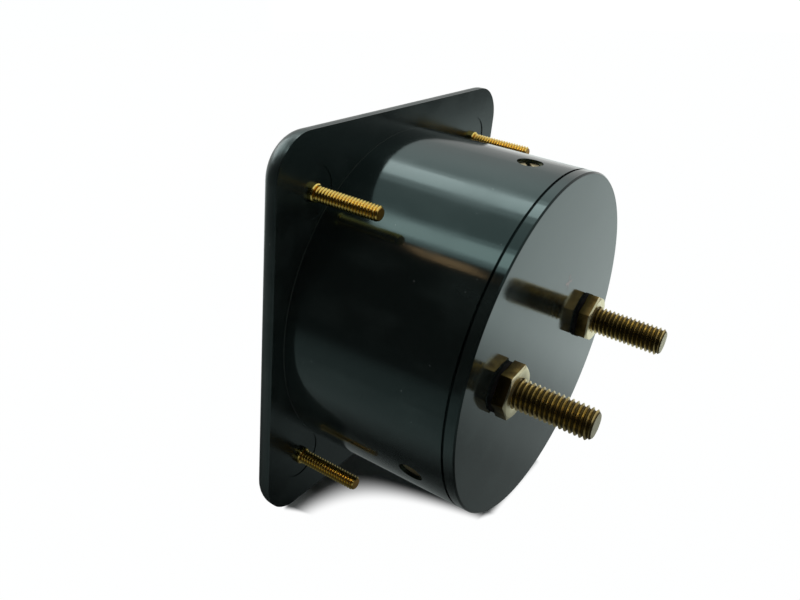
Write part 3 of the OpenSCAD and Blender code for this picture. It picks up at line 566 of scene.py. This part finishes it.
def paler_beyond(material, y, colour, duller):
    """Paints everything past a given place along Y paler and duller: the terminals' ends, and a
    painted highlight on the nuts' turned ends.
    """
    tree, shader, axes = places_in(material)
    past = between(tree, axes.outputs["Y"], y, y + 0.06 * mm)
    before = shader.inputs["Base Color"].links[0].from_socket
    tree.links.new(two_colours(tree, past, before, colour), shader.inputs["Base Color"])
    rough = shader.inputs["Roughness"].links[0].from_socket
    tree.links.new(math_node(tree, "MULTIPLY_ADD", past, duller, rough), shader.inputs["Roughness"])


paler_beyond(terminal_brass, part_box("terminal_stud_pos")[1].y - 0.08 * mm, (0.78, 0.74, 0.57), 0.15)
nut_brass = metal("nut_brass", (0.30, 0.20, 0.065), (0.08, 0.045, 0.014), 0.75, 0.2, 0.2, 380.0)
# Painted highlight: the nuts' turned outer ends are painted pale cream
paler_beyond(nut_brass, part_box("terminal_nut_pos")[1].y - 0.42 * mm, (0.84, 0.76, 0.50), 0.05)
fibre = metal("fibre", (0.012, 0.009, 0.008), (0.005, 0.004, 0.004), 0.8, 0.6, 0.2, 900.0, 0.6, 0.0)
fibre.node_tree.nodes["Principled BSDF"].inputs["Specular IOR Level"].default_value = 0.2


def hexagon(name, flats, y0, y1, angle):
    """A hexagonal prism along Y, with a corner at the given angle from +X towards +Z."""
    clear()
    bpy.ops.mesh.primitive_cylinder_add(vertices=6, radius=flats / 2 / math.cos(math.pi / 6),
                                        depth=y1 - y0, location=(0, 0, 0))
    prism = bpy.context.object
    prism.name = name
    corner = max(prism.data.vertices, key=lambda v: v.co.x).co
    turn = math.radians(angle) - math.atan2(corner.y, corner.x)
    prism.rotation_euler = (0, 0, turn)
    settle(prism)
    prism.rotation_euler = (math.pi / 2, 0, 0)
    prism.location = (0, (y0 + y1) / 2, 0)
    settle(prism)
    return prism


def hexagon_nut(name, flats, y0, y1, angle, bore):
    """A nut whose corners are turned off at 30 degrees at its outer (+Y) end, with all its edges
    eased.
    """
    nut = hexagon(name, flats, y0, y1, angle)
    wide = flats * 0.75
    over = 1 * mm
    narrow = flats / 2 - 0.1 * mm - over
    slope = math.tan(math.pi / 6)
    depth = (wide - narrow) * slope
    clear()
    bpy.ops.mesh.primitive_cone_add(vertices=96, radius1=wide, radius2=narrow, depth=depth,
                                    location=(0, 0, 0))
    turned = bpy.context.object
    settle(turned)
    turned.rotation_euler = (-math.pi / 2, 0, 0)
    turned.location = (0, y1 + over * slope - depth / 2, 0)
    settle(turned)
    bpy.ops.object.mode_set(mode="EDIT")
    select_where(turned, "FACE", lambda c, n: n.y < -0.9)
    bpy.ops.mesh.extrude_region_move(TRANSFORM_OT_translate={"value": (0, -6 * mm, 0)})
    bpy.ops.object.mode_set(mode="OBJECT")
    boolean(nut, turned, "INTERSECT")
    boolean(nut, chamfered_rod("bore", bore, y0 - over, y1 + over, 0), "DIFFERENCE")
    active(nut)
    eased = nut.modifiers.new("eased", "BEVEL")
    eased.width = 0.09 * mm
    eased.segments = 2
    eased.limit_method = "ANGLE"
    eased.angle_limit = math.radians(22)
    eased.use_clamp_overlap = True
    bpy.ops.object.modifier_apply(modifier=eased.name)
    return nut


for sign, side, angle in (("pos", -1, 27), ("neg", 1, 54)):
    low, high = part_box("terminal_stud_" + sign)
    head_y = low.y + 3 * mm
    terminal = threaded_rod("terminal", term_r, term_pitch, term_thread, head_y - 0.1 * mm,
                            high.y, 0.7 * mm, 64)
    boolean(terminal, hexagon("head", hexagon_flats, low.y, head_y, 0), "UNION")
    terminal = copies(terminal, [(side * term_x, 0, 0)])
    keep(terminal, "threaded_terminal_" + sign, "housing", terminal_brass, 32)
    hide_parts("terminal_stud_" + sign)

    low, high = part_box("terminal_nut_" + sign)
    nut = hexagon_nut("nut", hexagon_flats, low.y, high.y, angle, term_r + 0.02 * mm)
    nut = copies(nut, [(side * term_x, 0, 0)])
    keep(nut, "eased_nut_" + sign, "housing", nut_brass, 30)
    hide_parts("terminal_nut_" + sign)
    dress("terminal_washer_" + sign, fibre)


# ---- Current path ----
# Inside the base, tinned solder lugs and a shunt of resistance alloy lie under the terminals'
# heads, and two copper leads take the current on to the movement.

tinned = metal("tinned", (0.66, 0.66, 0.63), (0.45, 0.44, 0.41), 0.6, 0.3)
dress("solder_lug_pos", tinned)
dress("solder_lug_neg", tinned)
dress("shunt_strip", metal("shunt_alloy", (0.52, 0.36, 0.25), (0.34, 0.21, 0.13), 0.5, 0.3))
copper = metal("copper", (0.78, 0.36, 0.20), (0.35, 0.14, 0.07), 0.5, 0.22)
dress("lead_pos", copper)
dress("lead_neg", copper)


# ---- Movement's frame ----
# A brass plate on two pillars carries the movement, and two brass bridges with jewel screws and
# lock nuts hold the coil's pivots. Blued steel screws clamp the bridges to the iron.

for node in ("movement_frame", "front_bridge", "rear_bridge", "core_bracket_top",
             "core_bracket_bottom", "rear_spring_arm"):
    dress(node, sheet_brass)
turned_brass = metal("turned_brass", (0.76, 0.55, 0.22), (0.45, 0.30, 0.11), 0.35, 0.18)
for node in ("pillars", "dial_posts", "front_jewel_screw", "rear_jewel_screw", "front_lock_nut",
             "rear_lock_nut", "core_screws"):
    dress(node, turned_brass)
blued_steel = metal("blued_steel", (0.16, 0.18, 0.24), (0.07, 0.08, 0.11), 0.5, 0.24)
for node in ("front_bridge_screws", "rear_bridge_screws", "dial_screws"):
    dress(node, blued_steel)


# ---- Magnetic circuit ----
# A cast horseshoe magnet embraces two soft-iron pole pieces, and a ground iron core stands in the
# bore between them, on two brass brackets.

dress("magnet", metal("cast_magnet", (0.11, 0.11, 0.115), (0.05, 0.05, 0.052), 0.7, 0.5, 0.2,
                      260.0, 0.9, 0.6))
soft_iron = metal("soft_iron", (0.42, 0.42, 0.43), (0.22, 0.21, 0.20), 0.5, 0.28)
for node in ("pole_piece_left", "pole_piece_right", "core"):
    dress(node, soft_iron)


# ---- Dial ----
# The dial is a sheet of aluminium in off-white enamel with a black printed scale of fifty
# divisions. Two screws hold it on its posts, and two wire pins stop the pointer.

dial_enamel, tree, shader, place = new_material("dial_enamel")
tree.links.new(two_colours(tree, noise(tree, place, 70.0, 4.0), (0.80, 0.78, 0.70),
                           (0.86, 0.845, 0.78)), shader.inputs["Base Color"])
shader.inputs["Roughness"].default_value = 0.42
dress("dial_plate", dial_enamel)
dress("pointer_stops", spring_wire)

ink, tree, shader, place = new_material("dial_ink")
tree.links.new(two_colours(tree, noise(tree, place, 3000.0, 2.0), (0.010, 0.010, 0.010),
                           (0.022, 0.022, 0.022)), shader.inputs["Base Color"])
shader.inputs["Roughness"].default_value = 0.5
dial_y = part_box("dial_plate")[0].y
pivot_z = -14 * mm
scale_r = 30.6 * mm
figures_r = 35.6 * mm
ink_t = 0.02 * mm
marks = []


def scale_mark(length, width, angle):
    """One printed line of the scale, outwards from its arc, at an angle from the middle."""
    clear()
    bpy.ops.mesh.primitive_plane_add(size=1.0, location=(0, dial_y, 0),
                                     rotation=(math.pi / 2, 0, 0))
    mark = bpy.context.object
    mark.scale = (width, length, 1)
    settle(mark)
    bpy.ops.object.mode_set(mode="EDIT")
    bpy.ops.mesh.select_all(action="SELECT")
    bpy.ops.mesh.extrude_region_move(TRANSFORM_OT_translate={"value": (0, -ink_t, 0)})
    bpy.ops.mesh.select_all(action="SELECT")
    bpy.ops.mesh.normals_make_consistent(inside=False)
    bpy.ops.object.mode_set(mode="OBJECT")
    mark.location = (0, 0, scale_r + length / 2)
    settle(mark)
    mark.rotation_euler = (0, math.radians(angle), 0)
    settle(mark)
    mark.location = (0, 0, pivot_z)
    settle(mark)
    marks.append(mark)


for i in range(51):
    angle = -45 + i * 1.8
    if i % 10 == 0:
        scale_mark(3.0 * mm, 0.42 * mm, angle)
    elif i % 5 == 0:
        scale_mark(2.3 * mm, 0.3 * mm, angle)
    else:
        scale_mark(1.6 * mm, 0.18 * mm, angle)

clear()
bpy.ops.mesh.primitive_plane_add(size=1.0, location=(0, 0, 0))
arc = bpy.context.object
arc.scale = (0.22 * mm, ink_t, 1)
settle(arc)
arc.location = (scale_r, dial_y - ink_t / 2, 0)
settle(arc)
bpy.ops.object.mode_set(mode="EDIT")
bpy.ops.mesh.select_all(action="SELECT")
bpy.ops.mesh.spin(steps=72, angle=math.radians(90), center=(0, 0, 0), axis=(0, 1, 0), dupli=False)
bpy.ops.mesh.select_all(action="SELECT")
bpy.ops.mesh.normals_make_consistent(inside=False)
bpy.ops.object.mode_set(mode="OBJECT")
middle = sum((v.co for v in arc.data.vertices), Vector()) / len(arc.data.vertices)
arc.rotation_euler = (0, math.atan2(middle.z, middle.x) - math.pi / 2, 0)
settle(arc)
arc.location = (0, 0, pivot_z)
settle(arc)
marks.append(arc)

for i, figure in enumerate(("0", "10", "20", "30", "40", "50")):
    angle = math.radians(-45 + 18 * i)
    clear()
    bpy.ops.object.text_add(location=(0, 0, 0), rotation=(0, 0, 0))
    label = bpy.context.object
    label.data.body = figure
    label.data.align_x = "CENTER"
    label.data.align_y = "CENTER"
    label.data.size = 3.3 * mm
    label.data.extrude = ink_t / 2
    label.data.resolution_u = 6
    bpy.ops.object.convert(target="MESH")
    label = bpy.context.object
    label.rotation_euler = (math.pi / 2, 0, 0)
    settle(label)
    label.rotation_euler = (0, angle, 0)
    settle(label)
    label.location = (figures_r * math.sin(angle), dial_y - ink_t / 2,
                      pivot_z + figures_r * math.cos(angle))
    settle(label)
    marks.append(label)

clear()
for mark in marks:
    mark.select_set(True)
bpy.context.view_layer.objects.active = marks[0]
bpy.ops.object.join()
keep(marks[0], "dial_scale", "housing", ink)


# ---- Moving coil ----
# The coil is wound of enamelled copper wire on a light aluminium former. It turns on two steel
# pivots, and carries the balanced pointer and the inner ends of two bronze hairsprings.

dress("coil_former", metal("former_sheet", (0.78, 0.79, 0.80), (0.6, 0.6, 0.61), 0.4, 0.25))
wire_pitch = 0.12 * mm
winding, tree, shader, place = new_material("coil_winding_wire")
turned_place = tree.nodes.new("ShaderNodeMapping")
turned_place.inputs["Rotation"].default_value = (0, math.radians(45), 0)
tree.links.new(place, turned_place.inputs["Vector"])
wires = tree.nodes.new("ShaderNodeTexWave")
wires.bands_direction = "Z"
wires.inputs["Scale"].default_value = 2 * math.pi / 20 / wire_pitch
wires.inputs["Distortion"].default_value = 0.4
tree.links.new(turned_place.outputs["Vector"], wires.inputs["Vector"])
tree.links.new(two_colours(tree, wires.outputs["Fac"], (0.16, 0.035, 0.012), (0.52, 0.17, 0.06)),
               shader.inputs["Base Color"])
bump = tree.nodes.new("ShaderNodeBump")
bump.inputs["Strength"].default_value = 0.8
bump.inputs["Distance"].default_value = 0.00004
tree.links.new(wires.outputs["Fac"], bump.inputs["Height"])
tree.links.new(bump.outputs["Normal"], shader.inputs["Normal"])
shader.inputs["Roughness"].default_value = 0.28
shader.inputs["Metallic"].default_value = 0.5
dress("coil_winding", winding)
pivot_steel = metal("pivot_steel", (0.72, 0.72, 0.74), (0.5, 0.5, 0.52), 0.4, 0.12)
dress("front_pivot", pivot_steel)
dress("rear_pivot", pivot_steel)
dress("pointer", metal("pointer_paint", (0.014, 0.014, 0.015), (0.03, 0.03, 0.03), 0.5, 0.4, 0.1,
                       900.0, 0.2, 0.0))
dress("counterweights", turned_brass)
bronze = metal("bronze_strip", (0.66, 0.40, 0.20), (0.42, 0.23, 0.10), 0.4, 0.2)
dress("front_hairspring", bronze)
dress("rear_hairspring", bronze)


# ---- Table, light and camera ----
# The meter leans on its flange's lower edge and on the rim of its base, on a white sheet. Two long
# strips, each in a fainter glow, and a small warm one shine from the ceiling, and a soft light
# falls on the dial. A pale wall stands on one side, and the other side is dark.

foot_z = -39.7 * mm
rim_y = 36.7 * mm
lean = math.atan2(-foot_z - barrel_r, rim_y)
up = Vector((0, -math.sin(lean), math.cos(lean)))
clear()
bpy.ops.mesh.primitive_circle_add(vertices=96, radius=1.6, fill_type="NGON",
                                  location=(0, 0, foot_z), rotation=(lean, 0, 0))
table = bpy.context.object
table.name = "table"
settle(table)


def evenly(tree, value, low, high):
    """Maps a range of values to 0 and 1 in a straight line."""
    node = tree.nodes.new("ShaderNodeMapRange")
    tree.links.new(value, node.inputs["Value"])
    node.inputs["From Min"].default_value = low
    node.inputs["From Max"].default_value = high
    return node.outputs["Result"]


def profile(tree, value, low, high, stops):
    """A level that follows a few stops between two places."""
    ramp = tree.nodes.new("ShaderNodeValToRGB")
    ramp.color_ramp.interpolation = "EASE"
    tree.links.new(evenly(tree, value, low, high), ramp.inputs["Fac"])
    elements = ramp.color_ramp.elements
    while len(elements) < len(stops):
        elements.new(0.5)
    for element, (at, level) in zip(elements, stops):
        element.position = (at - low) / (high - low)
        element.color = (level, level, level, 1.0)
    return ramp.outputs["Color"]


# The sheet is white to the eye, but keeps a soft shadow where share is low: along the flange's foot
# and under the middle of the barrel, and not past the base, the flange's back or its corners.
# To polished faces the sheet glows with painted light and shade, as level says, in place of its lit
# shading.
table_paint = new_material("table_paint")[0]
tree, shader, axes = places_in(table_paint)
shader.inputs["Base Color"].default_value = (0.84, 0.85, 0.86, 1.0)
shader.inputs["Roughness"].default_value = 0.8
rays = tree.nodes.new("ShaderNodeLightPath")
beside = math_node(tree, "SUBTRACT", math_node(tree, "ABSOLUTE", axes.outputs["X"]), 11 * mm)
clear_of = math_node(tree, "MULTIPLY", math_node(tree, "MAXIMUM", beside, 0.0),
                     math_node(tree, "MAXIMUM", axes.outputs["Y"], 0.0))
for past in (math_node(tree, "SUBTRACT", axes.outputs["Y"], 35.2 * mm),
             math_node(tree, "SUBTRACT", 0.3 * mm, axes.outputs["Y"]),
             math_node(tree, "SUBTRACT", beside, 20.5 * mm)):
    clear_of = math_node(tree, "MULTIPLY_ADD", math_node(tree, "MAXIMUM", past, 0.0), 60 * mm,
                         clear_of)
share = between(tree, clear_of, 20e-6, 140e-6, 0.0, 0.997)
# Painted light and shade for polished faces: bright on the -X side behind the meter, a painted
# shadow under and beside it, dim on the +X side, and dark past its far edge
across = profile(tree, axes.outputs["X"], -0.08, 0.26, (
    (-0.066, 0.94), (-0.022, 0.32), (0.0, 0.19), (0.016, 0.18), (0.034, 0.03), (0.056, 0.28),
    (0.10, 0.21), (0.25, 0.02)))
along = between(tree, axes.outputs["Y"], 0.108, 0.136, 1.0, 0.04)
level = math_node(tree, "MULTIPLY", across, along)
backdrop_and_painted_glow = tree.nodes.new("ShaderNodeEmission")
tree.links.new(two_colours(tree, rays.outputs["Is Camera Ray"], (0.91, 1.0, 0.98),
                           (0.995, 1.0, 1.0)), backdrop_and_painted_glow.inputs["Color"])
tree.links.new(math_node(tree, "MAXIMUM", level, rays.outputs["Is Camera Ray"]),
               backdrop_and_painted_glow.inputs["Strength"])
seen = math_node(tree, "MULTIPLY_ADD", share, rays.outputs["Is Camera Ray"],
                 rays.outputs["Is Glossy Ray"])
blend = tree.nodes.new("ShaderNodeMixShader")
tree.links.new(seen, blend.inputs["Fac"])
tree.links.new(shader.outputs["BSDF"], blend.inputs[1])
tree.links.new(backdrop_and_painted_glow.outputs["Emission"], blend.inputs[2])
tree.links.new(blend.outputs["Shader"], tree.nodes["Material Output"].inputs["Surface"])
table.data.materials.append(table_paint)

# The room: a ceiling and a wall on the -X side, and nothing but darkness on the +X side
world = bpy.data.worlds.new("room")
bpy.context.scene.world = world
world.use_nodes = True
tree = world.node_tree
background = tree.nodes["Background"]
camera_ray = tree.nodes.new("ShaderNodeLightPath").outputs["Is Camera Ray"]
direction = tree.nodes.new("ShaderNodeTexCoord").outputs["Generated"]
rise = tree.nodes.new("ShaderNodeVectorMath")
rise.operation = "DOT_PRODUCT"
rise.inputs[1].default_value = up
tree.links.new(direction, rise.inputs[0])
rise = rise.outputs["Value"]
axes = tree.nodes.new("ShaderNodeSeparateXYZ")
tree.links.new(direction, axes.inputs["Vector"])
towards_x = axes.outputs["X"]
lit = between(tree, math_node(tree, "MULTIPLY_ADD", rise, -0.5, towards_x), -0.03, 0.05, 1.0, 0.0)
upper_wall = math_node(tree, "MULTIPLY", between(tree, rise, 0.45, 0.82, 0.0, 0.5),
                       between(tree, towards_x, -0.25, -0.42))
horizon = math_node(tree, "MULTIPLY", between(tree, rise, 0.03, 0.14, 0.4, 0.0),
                    between(tree, towards_x, -0.5, -0.8))
level = math_node(tree, "ADD", math_node(tree, "ADD", upper_wall, horizon), 0.64)
level = math_node(tree, "MULTIPLY_ADD", level, lit, 0.012)
tree.links.new(math_node(tree, "MAXIMUM", level, camera_ray), background.inputs["Strength"])
room = two_colours(tree, between(tree, rise, 0.3, 0.6), (1.0, 1.0, 0.98), (0.93, 1.0, 0.99))
tree.links.new(two_colours(tree, camera_ray, room, (0.99, 1.0, 1.0)), background.inputs["Color"])


def ceiling_strip(name, left, right, level, colour, near=-0.85, far=-0.12, height=0.9):
    """A soft strip in the ceiling; its edges are given by their slopes from the vertical."""
    clear()
    middle = Vector((1, 0, 0)) * (left + right) / 2 + up.cross(Vector((1, 0, 0))) * (near + far) / 2
    bpy.ops.object.light_add(type="AREA", location=(middle + up) * height, rotation=(lean, 0, 0))
    lamp = bpy.context.object
    lamp.name = name
    lamp.data.shape = "RECTANGLE"
    lamp.data.size = (right - left) * height
    lamp.data.size_y = (far - near) * height
    lamp.data.energy = level * math.pi * lamp.data.size * lamp.data.size_y
    lamp.data.color = colour
    lamp.visible_camera = False


ceiling_strip("left_strip", -0.45, -0.225, 2.9, (1.0, 0.97, 0.97))
ceiling_strip("left_strip_glow", -0.52, -0.13, 0.6, (1.0, 1.0, 1.0))
ceiling_strip("right_strip", 0.28, 0.465, 2.3, (1.0, 0.97, 0.95))
ceiling_strip("right_strip_glow", 0.22, 0.53, 0.6, (1.0, 1.0, 1.0))
ceiling_strip("warm_strip", 0.57, 0.68, 2.3, (1.0, 0.45, 0.22), near=-0.43, far=-0.30)

# A small soft light in front of the dial
clear()
bpy.ops.object.light_add(type="AREA", location=(0, -0.9, 0.45),
                         rotation=(math.atan2(0.9, 0.45), 0, 0))
front_light = bpy.context.object
front_light.name = "front_light"
front_light.data.size = 0.6
front_light.data.energy = 3.5 * math.pi * front_light.data.size ** 2
front_light.visible_camera = False

# The camera looks down on the meter from behind, past the +X side of the flange
right = Vector((-0.55313, 0.82743, 0.09698))
upward = Vector((-0.32277, -0.32017, 0.89068))
forward = Vector((-0.76803, -0.46136, -0.44417))
clear()
bpy.ops.object.camera_add(location=(0, 0, 0))
camera = bpy.context.object
camera.matrix_world = Matrix((
    (right.x, upward.x, -forward.x, 0.130234),
    (right.y, upward.y, -forward.y, 0.080867),
    (right.z, upward.z, -forward.z, 0.073368),
    (0, 0, 0, 1),
))
camera.data.lens = 35.04
camera.data.sensor_width = 36.0
camera.data.clip_start = 0.005
camera.data.clip_end = 20.0
bpy.context.scene.camera = camera
bpy.context.scene.view_settings.view_transform = "Standard"
